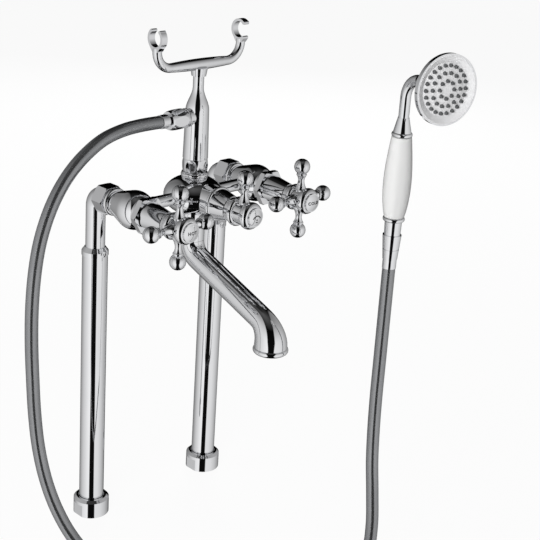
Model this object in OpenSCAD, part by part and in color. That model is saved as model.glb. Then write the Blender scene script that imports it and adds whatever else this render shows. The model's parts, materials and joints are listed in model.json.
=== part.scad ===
// Bath shower mixer on two floor legs: cross handles, diverter, swivel spout, cradle, hose and handset
// Frame: origin on the floor midway between the legs, X to the cold side, -Y to the front, Z up

/* [Overall] */
// Distance between the two leg axes
inlet_spacing = 180; // [170:1:220]
// Height of the inlet axis above the floor, the legs are made to suit the bath
axis_height = 400; // [340:5:750]
// Distance of the column, crossbars and spout root in front of the leg axes
column_setback = 61; // [60:1:65]

/* [Legs] */
// Outside diameter of the lower leg sleeve
sleeve_d = 29; // [26:0.5:30]
// Outside diameter of the band at the top of the sleeve
sleeve_band_d = 30.4; // [30.2:0.1:32]
// Height of the band at the top of the sleeve
sleeve_band_h = 5; // [4:0.5:10]
// Outside diameter of the leg shank and elbow
shank_d = 22; // [20:0.5:23]
// Wall of the leg shank
shank_wall = 2; // [1.5:0.1:3]
// Bend radius of the elbow at its centreline
elbow_bend_r = 13; // [12.5:0.5:16]
// Drop from the inlet axis to the top of the sleeve
sleeve_drop = 61; // [50:1:80]
// Height of the cone at the top of the sleeve
sleeve_cone_h = 4.6; // [3:0.2:8]
// Length of shank inside the sleeve
shank_engagement = 60; // [30:1:100]
// Outside diameter of the foot nut
foot_nut_d = 42; // [41:0.5:50]
// Height of the foot nut
foot_nut_h = 22; // [20:1:28]
// Minor diameter of the foot nut thread, one inch pipe thread
foot_thread_d = 30.3; // [28:0.1:32]
// Width across the two wrench flats of the foot nut
foot_flats = 39; // [38:0.5:41]

/* [Valves] */
// Width across the flats of the union nut
union_af = 30; // [29:0.5:34]
// Length of the union nut
union_len = 17; // [15:0.5:22]
// Outside diameter of the valve inlet thread, three quarter inch pipe thread
inlet_thread_d = 26.4; // [25:0.1:27]
// Radius of the round bulb of the valve body
bulb_r = 21.5; // [20:0.25:23]
// Distance from the ring of the valve body to the middle of the bulb
bulb_rise = 31.5; // [29:0.5:34]
// Distance from the middle of the bulb to its front face
bulb_nose = 18; // [17:0.5:19]
// Diameter of the water chamber in each valve body
chamber_d = 22; // [20:0.5:24]
// Width across the flats of the bonnet flange
flange_af = 37; // [34:0.5:40]
// Thickness of the bonnet flange
flange_t = 7; // [5:0.5:9]
// Length of the bonnet cone
bonnet_len = 29; // [25:0.5:34]
// Diameter of the bonnet cone at its front end
bonnet_front_d = 24; // [21:0.5:26]
// Diameter of each valve spindle
spindle_d = 8; // [6:0.5:9]

/* [Handles] */
// Distance from the valve axis to each ball centre
spoke_reach = 37.4; // [34:0.2:41]
// Diameter of the ball on each spoke
ball_d = 18; // [15:0.5:20]
// Diameter of the hub rims
hub_d = 29.8; // [26:0.2:31]
// Diameter of the index cap
cap_d = 21; // [18:0.2:22]

/* [Diverter] */
// Diameter of the round diverter flange
diverter_flange_d = 39; // [38:0.5:42]
// Length of the diverter bonnet cone
diverter_bonnet_len = 19; // [16:0.5:30]
// Diameter of the diverter knob skirt
diverter_knob_d = 33; // [31:0.5:36]
// Distance from the diverter axis to the ball of its lever
lever_reach = 39; // [34:0.2:40]

/* [Centre body] */
// Radius of the flattened globe of the centre body
globe_r = 34; // [30:0.5:38]
// Half height of the flattened globe
globe_half_h = 22.7; // [21:0.1:26]
// Diameter of the neck under the globe and of the spout root
root_d = 28; // [27:0.5:30]
// Drop from the inlet axis to the spout joint
root_drop = 52; // [46:0.5:60]
// Diameter of each crossbar tube
crossbar_d = 14; // [12:0.5:15]

/* [Spout] */
// Forward reach of the outlet from the column axis
spout_reach = 135; // [110:1:180]
// Slope of the spout run below the horizontal
spout_slope = 20; // [10:1:28]
// Bend radius at the spout root
spout_root_bend = 22; // [18:1:26]
// Bend radius at the spout end
spout_end_bend = 30; // [26:1:34]
// Diameter of the spout run
spout_run_d = 27; // [25:0.5:29]
// Diameter of the flared spout end
spout_end_d = 36.6; // [34:0.2:39]
// Diameter of the aerator ring
aerator_d = 39.2; // [36:0.2:42]
// Height of the aerator ring
aerator_h = 7; // [5:0.5:10]

/* [Column] */
// Diameter of the column at its base
column_base_d = 28.2; // [27:0.2:30]
// Diameter of the column below its shoulder
column_top_d = 26; // [24.5:0.5:27]
// Diameter of the column neck
column_neck_d = 12; // [11:0.2:14]
// Height of the column shoulder above the inlet axis
shoulder_rise = 96.6; // [94:0.2:110]
// Height of the hose branch above the inlet axis
branch_rise = 90; // [80:1:91]
// Height of the column nut
column_nut_h = 16; // [14:0.5:20]
// Length of the shoulder from column to neck
shoulder_len = 26; // [20:0.5:32]
// Length of the neck
neck_len = 12; // [8:0.5:20]

/* [Cradle] */
// Distance between the two fork centres
fork_spacing = 120; // [110:1:130]
// Height of the fork centres above the cradle bar axis
fork_rise = 33; // [31:0.5:38]
// Inside diameter of the forks
fork_bore = 17.6; // [16:0.2:19]
// Width of the fork strips
fork_width = 7.5; // [6:0.5:9]
// Thickness of the fork strips
fork_t = 3; // [2.5:0.25:4]
// Diameter of the cradle bar at its ends
cradle_bar_d = 10; // [9.5:0.5:12]
// Swelling of the cradle bar at its middle
bar_swell = 1.3; // [0.4:0.1:2]

/* [Hose] */
// Outside diameter of the shower hose
hose_d = 14; // [12:0.5:15]

/* [Handset] */
// Place of the handset axis to the right of the middle
handset_x = 76; // [70:1:80]
// Place of the handset axis in front of the leg axes
handset_front = 288; // [280:1:295]
// Height of the hose nut of the handset above the floor
handset_height = 376; // [370:1:380]
// Turn of the handset about its upright axis
handset_turn = -15; // [-30:1:30]
// Length of the porcelain grip
grip_len = 85.5; // [75:0.5:100]
// Largest diameter of the porcelain grip
grip_d = 29.2; // [26:0.2:32]
// Diameter of the porcelain grip at its ends
grip_end_d = 21; // [20:0.2:23]
// Diameter of the handset tube
neck_tube_d = 11; // [10:0.2:11.4]
// Bend radius of the handset tube
neck_bend_r = 22; // [18:1:28]
// Upward tilt of the spray face
face_tilt = 1; // [0:1:20]
// Diameter of the spray head
head_d = 71; // [66:1:84]
// Depth of the spray head
head_depth = 44.5; // [38:0.5:50]

/* [Hidden] */
$fn = 64;
chrome = [0.82, 0.83, 0.85];
brass = [0.78, 0.64, 0.36];
ceramic_white = [0.95, 0.95, 0.93];
rubber_grey = [0.35, 0.36, 0.37];
rubber_black = [0.12, 0.12, 0.12];
hose_grey = [0.62, 0.63, 0.65];

// Clearances
cut = 1;
run_gap = 0.05;
seat_gap = 0.3;
solder_gap = 0.05;

// Legs
leg_x = inlet_spacing / 2;
shank_r = shank_d / 2;
sleeve_r = sleeve_d / 2;
sleeve_top = axis_height - sleeve_drop;
collar_step = 2.5;
collar_t = 4;
foot_lip = 5;
foot_washer_t = 2;
foot_chamfer = 3;
foot_collar_top = foot_nut_h - foot_lip;
foot_collar_bottom = foot_collar_top - collar_t;
foot_cavity_r = sleeve_r + collar_step + 0.2;
sleeve_band_r = sleeve_band_d / 2;
sleeve_band_top = sleeve_top - sleeve_cone_h;
set_screw_r = 1.6;
leg_screw_r = 2.4;
leg_screw_seat_r = 3.6;
leg_screw_seat = 1.2;
set_screw_z = sleeve_band_top - sleeve_band_h / 2 + 0.6;

// Stations along a valve, measured forward from the leg axis
union_lip = 5;
union_collar_t = 3;
union_washer_t = 2;
union_chamfer = 1.2;
nut_back = elbow_bend_r;
collar_back = nut_back + union_lip;
collar_front = collar_back + union_collar_t;
inlet_face = collar_front + union_washer_t;
nut_front = nut_back + union_len;
inlet_r = inlet_thread_d / 2;
union_collar_r = inlet_r - 0.6;
ring_gap = 1.5;
ring_t = 5;
ring_r = inlet_r + 2.4;
ring_back = nut_front + ring_gap;
ring_front = ring_back + ring_t;
bulb_neck_r = inlet_r - 0.6;
bulb_mid = ring_front + bulb_rise;
valve_face = bulb_mid + bulb_nose;
nose_r = 17;
nose_len = 7;
chamber_r = chamber_d / 2;
inlet_bore_r = 8.5;
disc_t = 2;
disc_gap = 0.1;
seat_station = column_setback - 9;
flange_front = valve_face + flange_t;
bonnet_front = flange_front + bonnet_len;
bonnet_back_r = 16;
bonnet_front_r = bonnet_front_d / 2;
spindle_r = spindle_d / 2;
headwork_thread_r = chamber_r - run_gap;
headwork_cage_r = chamber_r - 2;
headwork_neck_r = spindle_r + 4;
headwork_shoulder = flange_front + 4;
headwork_front = bonnet_front - 8;

// Handle stations, measured forward from the end of the bonnet
hub_back = bonnet_front + seat_gap;
skirt_len = 13;
waist_len = 9;
rim_len = 13;
waist_cut = 3.5;
hub_r = hub_d / 2;
skirt_end = hub_back + skirt_len;
waist_end = skirt_end + waist_len;
spoke_station = skirt_end + waist_len / 2;
rim_end = waist_end + rim_len;
cap_r = cap_d / 2;
cap_recess_r = cap_r - 1.4;
cap_t = 4.2;
cap_dome = 2;
cap_plug = 5;
ball_r = ball_d / 2;
spoke_root_r = 6.9;
spoke_neck_r = 3.6;
spoke_cup_r = 5.4;
spoke_bead_r = 5.8;
spoke_neck_drop = 6.7;
spoke_cup_drop = 1;
spindle_end = waist_end + 0.5;
screw_head_t = 2.4;
screw_len = 11;

// Diverter stations
diverter_face = column_setback + globe_r + 5;
diverter_boss_r = diverter_flange_d / 2 - 2;
diverter_flange_t = 5;
diverter_flange_front = diverter_face + diverter_flange_t;
diverter_bonnet_back_r = diverter_flange_d / 2 - 2;
diverter_bonnet_front_r = diverter_knob_d / 2 - 2.5;
diverter_bonnet_front = diverter_flange_front + diverter_bonnet_len;
diverter_skirt_r = diverter_knob_d / 2;
diverter_rim_r = diverter_skirt_r - 1.3;
diverter_back = diverter_bonnet_front + seat_gap;
diverter_waist_end = diverter_back + skirt_len + waist_len;
diverter_rim_end = diverter_waist_end + rim_len;
lever_station = diverter_waist_end - waist_len / 2;
diverter_chamber_r = 9;
diverter_seat = column_setback - 12;
diverter_spindle_end = diverter_waist_end + 0.5;

// Centre body and column, heights above the inlet axis
collar_rise = 4.3;
body_top = globe_half_h + collar_rise;
neck_top_r = 15.5;
collar_ring_h = 6;
root_r = root_d / 2;
spigot_r = root_r - 3;
spigot_len = 20;
crossbar_r = crossbar_d / 2;
crossbar_wall = 1.5;
socket_depth = 7;
nut_thread_r = 11;
nut_thread_len = 8;
column_nut_top = body_top + column_nut_h;
column_nut_r = column_base_d / 2 + 0.7;
column_nut_af = column_nut_r * 2 - 3;
column_bore_r = 5;
column_spigot_r = 8.5;
clip_t = 1.5;
neck_r = column_neck_d / 2;
shoulder_end = shoulder_rise + shoulder_len;
neck_end = shoulder_end + neck_len;
stud_r = 3;
stud_depth = 15;

// Hose branch, measured from the column axis towards the hot side
branch_r = 9.3;
branch_len = 15;
branch_ring_t = 3;
branch_thread_r = 8.3;
branch_thread_len = 12;
outlet_nut_r = 11.8;
outlet_nut_af = 20.6;
outlet_nut_len = 24;
outlet_nut_back = branch_len + branch_ring_t;
outlet_nut_front = outlet_nut_back + outlet_nut_len;
outlet_washer_t = 2;
outlet_thread_end = outlet_nut_back + branch_thread_len;
ferrule_r = hose_d / 2 + 0.6;
ferrule_len = 11;
ferrule_flange_t = 2.4;
ferrule_flange_back = outlet_thread_end + outlet_washer_t;
ferrule_flange_r = branch_thread_r;
ferrule_front = outlet_nut_front + ferrule_len;
hose_bore_r = 4;

// Spout stations
spout_top = axis_height - root_drop - seat_gap;
spout_bend_angle = 90 - spout_slope;
spout_run_len = (spout_reach - (spout_root_bend + spout_end_bend) * (1 - cos(spout_bend_angle)))
    / sin(spout_bend_angle);
spout_sides = 40;
spout_bend_steps = 10;
spout_drop = (spout_root_bend + spout_end_bend) * sin(spout_bend_angle)
    + spout_run_len * cos(spout_bend_angle);
spout_exit_z = spout_top - spout_drop;
spout_exit_y = -column_setback - spout_reach;
aerator_spigot_r = 14;
aerator_spigot_len = 6;
aerator_bore_r = 12;
aerator_lip_r = 15.6;
o_ring_r = 0.9;
o_ring_gap = 0.1;

// Cradle, heights above the inlet axis
boss_h = 9;
boss_r = 8;
boss_top_r = 9.6;
cradle_base = neck_end + seat_gap;
bar_z = cradle_base + boss_h + cradle_bar_d / 2 - 1.5;
fork_r = fork_bore / 2;
fork_z = bar_z + fork_rise;
arm_bend = fork_rise - fork_r - fork_t - 2;
arm_x = fork_spacing / 2;
tip_swell = 0.5;
upright_fork_half = 42;
side_fork_low = 127;
side_fork_high = 130;
fork_foot_r = 4.2;
fork_foot_angle = 35;

// Handset, heights above its hose nut
nut_h = 27;
nut_low_r = hose_d / 2 + 0.8;
nut_high_r = 10;
nut_groove_z = 11;
nut_groove = 0.8;
thread_r = 7.4;
thread_low = 14;
ferrule_collar = 10;
ferrule_top_h = 20;
bead_h = 5;
grip_base = nut_h + ferrule_top_h;
grip_top = grip_base + grip_len;
upper_cone_h = 15;
tube_r = neck_tube_d / 2;
tube_bore_r = tube_r - 1.5;
neck_rise = 20.6;
tube_top = grip_top + bead_h + upper_cone_h + neck_rise;
neck_angle = 90 - face_tilt;
head_r = head_d / 2;
head_rim_t = 4.5;
plate_r = head_r - 1.6;
dish_r = plate_r - 7.5;
dish_depth = 3.6;
plate_t = 3;
plate_hub_t = 3;
plate_hub_r = dish_r + 4;
head_cavity_back = 5;
nozzle_r = 2;
nozzle_h = 2.6;
plate_crown = 2.6;
nozzle_seat = 2.2;
nozzle_rings = [[8, 8.6], [14, 16.4], [22, 23.6]];

// Hose route from the outlet ferrule to the hose ferrule of the handset
hose_route = [
    [-53, -61, 490], [-80, -61, 490], [-104, -61, 488], [-128, -61, 482], [-150, -62, 471], [-170, -63, 456],
    [-187, -64, 437], [-201, -65, 414], [-212, -66, 386], [-219, -67, 354], [-223, -68, 318], [-225, -70, 280],
    [-225, -72, 240], [-224, -74, 200], [-222, -78, 162], [-218, -85, 126], [-212, -96, 93], [-203, -111, 63],
    [-191, -131, 38], [-176, -155, 20], [-158, -183, 10], [-138, -213, 7.5], [-115, -243, 7], [-90, -271, 7],
    [-62, -295, 7], [-32, -314, 7.5], [-2, -326, 12], [25, -328, 24], [46, -322, 44], [61, -312, 70],
    [70, -301, 102], [74, -293, 138], [76, -289, 176], [76, -288, 216], [76, -288, 256], [76, -288, 296],
    [76, -288, 332], [76, -288, 366]
];
hose_sides = 12;

// Shared shapes

// Stands a child on a valve axis, with the child's Z axis pointing to the front
module on_axis(x = 0) {
    translate([x, 0, axis_height]) rotate([90, 0, 0]) children();
}

// Stands a child on the column axis at the height of the inlet axis
module on_column() {
    translate([0, -column_setback, axis_height]) children();
}

// Stands a child on the hose branch, with the child's Z axis pointing to the hot side
module on_branch() {
    on_column() translate([0, 0, branch_rise]) rotate([0, -90, 0]) children();
}

// Stands a child on the handset axis, with the handset facing the front
module on_handset() {
    translate([handset_x, -handset_front, handset_height]) rotate([0, 0, handset_turn]) children();
}

// Stands a child on the spray face, with the child's Z axis pointing out of the face
module on_face() {
    on_handset() translate([0, -neck_bend_r * (1 - cos(neck_angle)), tube_top + neck_bend_r * sin(neck_angle)])
        rotate([neck_angle, 0, 0]) children();
}

// Cylinder between two heights
module rod(r, low, high) {
    translate([0, 0, low]) cylinder(r = r, h = high - low);
}

// Tube between two heights
module pipe(r, bore, low, high) {
    difference() {
        rod(r, low, high);
        rod(bore, low - cut, high + cut);
    }
}

// Cone between two heights
module taper(r_low, r_high, low, high) {
    translate([0, 0, low]) cylinder(r1 = r_low, r2 = r_high, h = high - low);
}

// Rounded ring: a disc with a half round edge
module bead(r, low, high) {
    edge = (high - low) / 2;
    rod(r - edge, low, high);
    translate([0, 0, low + edge]) rotate_extrude() translate([r - edge, 0]) circle(r = edge);
}

// Hexagonal nut with turned corners
module hex_nut(af, low, high, chamfer) {
    corner = af / 2 / cos(30);
    intersection() {
        translate([0, 0, low]) cylinder(r = corner, h = high - low, $fn = 6);
        union() {
            taper(corner - chamfer, corner, low, low + chamfer);
            rod(corner, low + chamfer, high - chamfer);
            taper(corner, corner - chamfer, high - chamfer, high);
        }
    }
}

// Barrel nut: a swelling round nut with six flats that show as round spots
module barrel_nut(r, end_r, af, low, high) {
    steps = 12;
    h = high - low;
    intersection() {
        translate([0, 0, low]) cylinder(r = af / 2 / cos(30), h = h, $fn = 6);
        translate([0, 0, low]) rotate_extrude() polygon(concat(
            [[0, 0]],
            [for (i = [0 : steps]) [r - (r - end_r) * pow(2 * i / steps - 1, 2), h * i / steps]],
            [[0, h]]
        ));
    }
}

// Legs
module leg_sleeve(side) {
    color(chrome) translate([side * leg_x, 0, 0]) difference() {
        union() {
            rod(sleeve_r + collar_step, foot_collar_bottom, foot_collar_top);
            rod(sleeve_r, foot_collar_bottom, sleeve_band_top);
            rod(sleeve_band_r, sleeve_band_top - sleeve_band_h, sleeve_band_top);
            taper(sleeve_band_r, shank_r + 0.8, sleeve_band_top, sleeve_top);
        }
        rod(shank_r + run_gap, sleeve_top - shank_engagement - 5, sleeve_top + cut);
        rod(shank_r - shank_wall, foot_collar_bottom - cut, sleeve_top);
        translate([0, 0, set_screw_z]) rotate([90, 0, 0]) {
            rod(leg_screw_r, 0, sleeve_band_r + cut);
            rod(leg_screw_seat_r, sleeve_band_r - leg_screw_seat, sleeve_band_r + cut);
        }
    }
}

module leg_elbow(side) {
    bore = shank_r - shank_wall;
    color(chrome) translate([side * leg_x, 0, axis_height]) difference() {
        union() {
            rod(shank_r, -sleeve_drop - shank_engagement, -elbow_bend_r);
            translate([0, -elbow_bend_r, -elbow_bend_r]) rotate([90, 0, 90])
                rotate_extrude(angle = 90) translate([elbow_bend_r, 0]) circle(r = shank_r);
            rotate([90, 0, 0]) rod(shank_r, elbow_bend_r, collar_front);
            rotate([90, 0, 0]) rod(union_collar_r, collar_back, collar_front);
        }
        rod(bore, -sleeve_drop - shank_engagement - cut, -elbow_bend_r);
        translate([0, -elbow_bend_r, -elbow_bend_r]) rotate([90, 0, 90])
            rotate_extrude(angle = 90) translate([elbow_bend_r, 0]) circle(r = bore);
        rotate([90, 0, 0]) rod(bore, elbow_bend_r, collar_front + cut);
    }
}

module set_screws() {
    color(chrome) {
        for (side = [-1, 1])
            translate([side * leg_x, 0, set_screw_z]) rotate([90, 0, 0])
                rod(leg_screw_r, shank_r + run_gap, sleeve_band_r - leg_screw_seat);
        on_column() translate([0, 0, -root_drop + 8]) rotate([-90, 0, 0])
            rod(set_screw_r, spigot_r - 1, root_r - 0.4);
    }
}

module foot_nut(side) {
    color(chrome) translate([side * leg_x, 0, 0]) difference() {
        union() {
            rod(foot_nut_d / 2, 0, foot_nut_h - foot_chamfer);
            taper(foot_nut_d / 2, foot_nut_d / 2 - foot_chamfer, foot_nut_h - foot_chamfer, foot_nut_h);
        }
        rod(foot_thread_d / 2, -cut, foot_nut_h);
        rod(foot_cavity_r, foot_collar_bottom - foot_washer_t, foot_collar_top);
        rod(sleeve_r + run_gap, 0, foot_nut_h + cut);
        for (turn = [0, 180])
            rotate([0, 0, turn]) translate([foot_flats / 2, -foot_nut_d, -cut])
                cube([foot_nut_d, 2 * foot_nut_d, foot_nut_h - 2 * foot_chamfer]);
    }
}

module foot_washers() {
    color(rubber_black) for (side = [-1, 1])
        translate([side * leg_x, 0, 0])
            pipe(sleeve_r + collar_step, shank_r - shank_wall, foot_collar_bottom - foot_washer_t, foot_collar_bottom);
}

// Valves
module union_nut(side) {
    color(chrome) on_axis(side * leg_x) difference() {
        hex_nut(union_af, nut_back, nut_front, union_chamfer);
        rod(shank_r + run_gap, nut_back - cut, nut_front);
        rod(inlet_r + run_gap, collar_back, nut_front + cut);
    }
}

module union_washers() {
    color(rubber_black) for (side = [-1, 1])
        on_axis(side * leg_x) pipe(union_collar_r, inlet_bore_r, collar_front, inlet_face);
}

module valve_body(side) {
    away = sqrt(pow(bulb_rise, 2) + pow(bulb_neck_r, 2));
    lean = asin(bulb_r / away) - atan(bulb_neck_r / bulb_rise);
    touch = sqrt(pow(away, 2) - pow(bulb_r, 2));
    color(chrome) on_axis(side * leg_x) difference() {
        union() {
            rod(inlet_r, inlet_face, ring_back);
            bead(ring_r, ring_back, ring_front);
            taper(bulb_neck_r, bulb_neck_r + touch * sin(lean), ring_front, ring_front + touch * cos(lean));
            translate([0, 0, bulb_mid]) sphere(r = bulb_r);
            rod(nose_r, valve_face - nose_len, valve_face);
        }
        rod(inlet_bore_r, inlet_face - cut, valve_face);
        rod(chamber_r, seat_station, valve_face + cut);
        rod(bulb_r, valve_face, valve_face + bulb_r);
        translate([0, 0, column_setback]) rotate([0, -90 * side, 0])
            rod(crossbar_r + solder_gap, bulb_r - socket_depth, bulb_r + cut);
        translate([0, 0, column_setback]) rotate([0, -90 * side, 0])
            rod(crossbar_r - crossbar_wall, 0, bulb_r);
    }
}

module headwork(side) {
    color(brass) on_axis(side * leg_x) difference() {
        union() {
            rod(headwork_cage_r, seat_station + disc_t + 4 * disc_gap, valve_face - 15);
            rod(headwork_thread_r, valve_face - 15, headwork_shoulder);
            rod(headwork_neck_r, headwork_shoulder, headwork_front);
        }
        rod(headwork_cage_r - 1.4, seat_station, seat_station + 2 * disc_t + 1);
        rod(spindle_r + run_gap, seat_station, headwork_front + cut);
        for (turn = [0, 90])
            rotate([0, 0, turn]) translate([-headwork_cage_r - cut, -3, seat_station + 2 * disc_t + 3])
                cube([2 * headwork_cage_r + 2 * cut, 6, 8]);
    }
}

module seat_discs() {
    color(ceramic_white) for (side = [-1, 1])
        on_axis(side * leg_x) difference() {
            rod(chamber_r - run_gap, seat_station, seat_station + disc_t);
            for (turn = [0, 180])
                rotate([0, 0, turn]) translate([4.2, 0, 0]) rod(2.4, seat_station - cut, seat_station + disc_t + cut);
        }
}

module turning_disc(side) {
    low = seat_station + disc_t + disc_gap;
    color(ceramic_white) on_axis(side * leg_x) difference() {
        rod(headwork_cage_r - 1.5, low, low + disc_t);
        for (turn = [0, 180])
            rotate([0, 0, turn + 90]) translate([4.2, 0, 0]) rod(2.4, low - cut, low + disc_t + cut);
    }
}

module bonnet(side) {
    color(chrome) on_axis(side * leg_x) difference() {
        union() {
            hex_nut(flange_af, valve_face, flange_front, 1);
            taper(bonnet_back_r, bonnet_front_r, flange_front, bonnet_front);
        }
        rod(chamber_r, valve_face - cut, headwork_shoulder);
        rod(headwork_neck_r + run_gap, valve_face, bonnet_front + cut);
    }
}

// Handles
module spindle(side) {
    low = seat_station + 2 * disc_t + disc_gap;
    color(brass) on_axis(side * leg_x) difference() {
        rod(spindle_r, low, spindle_end);
        rod(spindle_r - 1.5, spindle_end - screw_len, spindle_end + cut);
    }
}

// Turned spoke from inside the hub to its ball: a flared root, a thin neck, a cup and a bead under the ball
module spoke(root, reach) {
    steps = 6;
    foot = root + 2.5;
    neck = reach - ball_r - spoke_neck_drop;
    cup = reach - ball_r - spoke_cup_drop;
    rotate_extrude() polygon(concat(
        [[0, root], [spoke_root_r, root]],
        [for (i = [0 : steps]) let (t = i / steps)
            [spoke_neck_r + (spoke_root_r - spoke_neck_r) * pow(1 - t, 2), foot + (neck - foot) * t]],
        [for (i = [1 : steps]) let (t = i / steps)
            [spoke_neck_r + (spoke_cup_r - spoke_neck_r) * t * t, neck + (cup - neck) * t]],
        [[0, cup]]
    ));
    bead(spoke_bead_r, reach - ball_r - 1.6, reach - ball_r + 1.2);
    translate([0, 0, reach]) sphere(r = ball_r);
}

// Turned hub: a rounded bell, a waist that carries the spokes, and a rounded rim
module hub(back, start_r, bell_r, rim_r) {
    bell_end = back + skirt_len;
    taper(start_r, bell_r - 2, back, bell_end - 5);
    bead(bell_r, bell_end - 8, bell_end);
    rod(bell_r - waist_cut, bell_end - 2, bell_end + waist_len + 2);
    bead(rim_r, bell_end + waist_len, bell_end + waist_len + rim_len);
}

module cross_handle(side) {
    color(chrome) on_axis(side * leg_x) difference() {
        union() {
            hub(hub_back, bonnet_front_r - 0.5, hub_r, hub_r);
            for (turn = [0 : 90 : 270])
                translate([0, 0, spoke_station]) rotate([0, 0, turn]) rotate([0, 90, 0])
                    spoke(hub_r - waist_cut - 2.5, spoke_reach);
        }
        rod(spindle_r, hub_back - cut, spindle_end);
        rod(cap_recess_r, spindle_end, rim_end + cut);
    }
}

module handle_cap(side) {
    color(chrome) on_axis(side * leg_x) index_cap(rim_end, cap_r, cap_recess_r, cap_plug);
}

// Domed cap with a plug that presses into the hub
module index_cap(face, r, plug_r, plug) {
    dome_r = (pow(r - 1, 2) + pow(cap_dome, 2)) / (2 * cap_dome);
    rod(plug_r, face - plug, face);
    rod(r, face, face + cap_t - cap_dome);
    translate([0, 0, face + cap_t - cap_dome]) intersection() {
        rod(r - 1, 0, cap_dome + cut);
        translate([0, 0, cap_dome - dome_r]) sphere(r = dome_r, $fn = 96);
    }
}

module handle_screw(side) {
    color(brass) on_axis(side * leg_x) {
        rod(spindle_r - 1.5, spindle_end - screw_len + 1, spindle_end);
        rod(spindle_r + 0.6, spindle_end, spindle_end + screw_head_t);
    }
}

// Centre body
module crossbar(side) {
    inner = globe_r - socket_depth;
    outer = leg_x - bulb_r + socket_depth - 1;
    color(chrome) on_column() rotate([0, 90 * side, 0])
        pipe(crossbar_r, crossbar_r - crossbar_wall, inner, outer);
}

// Globe turned about the column axis, flattened from above and below and cut flat at its ends
module globe() {
    bands = 17;
    flat = 66;
    end_z = globe_half_h * sin(flat);
    rotate_extrude() polygon(concat(
        [[0, -end_z]],
        [for (i = [0 : bands]) let (angle = flat * (2 * i / bands - 1))
            [globe_r * cos(angle), globe_half_h * sin(angle)]],
        [[0, end_z]]
    ));
}

module centre_body() {
    color(chrome) difference() {
        union() {
            on_column() globe();
            on_column() rod(neck_top_r - 1, 0, body_top);
            on_column() bead(neck_top_r, body_top - collar_ring_h, body_top);
            on_column() rod(root_r, -root_drop, 0);
            on_axis() rod(diverter_boss_r, column_setback, diverter_face);
        }
        on_column() rod(spigot_r, -root_drop - cut, -root_drop + spigot_len + 2);
        on_column() rod(inlet_bore_r, -root_drop, body_top);
        on_column() rod(nut_thread_r + run_gap, body_top - nut_thread_len - clip_t - 1, body_top + cut);
        on_axis() rod(diverter_chamber_r, diverter_seat, diverter_face + cut);
        on_column() translate([0, 0, -root_drop + 8]) rotate([-90, 0, 0]) rod(set_screw_r, 0, root_r + cut);
        for (side = [-1, 1]) on_column() rotate([0, 90 * side, 0]) {
            rod(crossbar_r + solder_gap, globe_r - socket_depth, globe_r + cut);
            rod(crossbar_r - crossbar_wall, 0, globe_r);
        }
    }
}

// Diverter
module diverter_headwork() {
    low = diverter_seat + 4 + seat_gap;
    color(brass) on_axis() difference() {
        union() {
            rod(diverter_chamber_r - 2, low, diverter_face - 12);
            rod(diverter_chamber_r - run_gap, diverter_face - 12, diverter_flange_front + 6);
            rod(headwork_neck_r, diverter_flange_front + 6, diverter_bonnet_front - 6);
        }
        rod(spindle_r + run_gap, low - cut, diverter_bonnet_front);
        for (turn = [0, 90])
            rotate([0, 0, turn]) translate([-diverter_chamber_r, -4, low + 2])
                cube([2 * diverter_chamber_r, 8, 14]);
    }
}

module diverter_bonnet() {
    color(chrome) on_axis() difference() {
        union() {
            bead(diverter_flange_d / 2, diverter_face, diverter_flange_front);
            taper(diverter_bonnet_back_r, diverter_bonnet_front_r, diverter_flange_front, diverter_bonnet_front);
        }
        rod(diverter_chamber_r, diverter_face - cut, diverter_flange_front + 6);
        rod(headwork_neck_r + run_gap, diverter_face, diverter_bonnet_front + cut);
    }
}

module diverter_spindle() {
    color(brass) on_axis() difference() {
        rod(spindle_r, diverter_seat + 4, diverter_spindle_end);
        rod(spindle_r - 1.5, diverter_spindle_end - screw_len, diverter_spindle_end + cut);
    }
}

module diverter_plate() {
    color(ceramic_white) on_axis() difference() {
        rod(diverter_chamber_r - 0.1, diverter_seat + seat_gap, diverter_seat + 4);
        translate([5, 0, 0]) rod(2.6, diverter_seat, diverter_seat + 4 + cut);
    }
}

module diverter_knob() {
    color(chrome) on_axis() difference() {
        union() {
            hub(diverter_back, diverter_bonnet_front_r - 0.5, diverter_skirt_r, diverter_rim_r);
            translate([0, 0, lever_station]) rotate([-90, 0, 0])
                spoke(diverter_skirt_r - waist_cut - 2.5, lever_reach);
        }
        rod(spindle_r, diverter_back - cut, diverter_spindle_end);
        rod(cap_recess_r, diverter_spindle_end, diverter_rim_end + cut);
    }
}

module diverter_cap() {
    color(chrome) on_axis() index_cap(diverter_rim_end, cap_r, cap_recess_r, cap_plug);
}

module diverter_screw() {
    color(brass) on_axis() {
        rod(spindle_r - 1.5, diverter_spindle_end - screw_len + 1, diverter_spindle_end);
        rod(spindle_r + 0.6, diverter_spindle_end, diverter_spindle_end + screw_head_t);
    }
}

// Column and cradle
module column_nut() {
    color(chrome) on_column() difference() {
        union() {
            barrel_nut(column_nut_r, column_nut_r - 1.8, column_nut_af, body_top, column_nut_top);
            rod(nut_thread_r, body_top - nut_thread_len, body_top);
        }
        rod(column_spigot_r + run_gap, body_top - nut_thread_len - cut, column_nut_top + cut);
    }
}

module column_clip() {
    low = body_top - nut_thread_len - clip_t;
    color(brass) on_column() pipe(column_spigot_r + 1.6, column_spigot_r - 1, low, low + clip_t);
}

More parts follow.
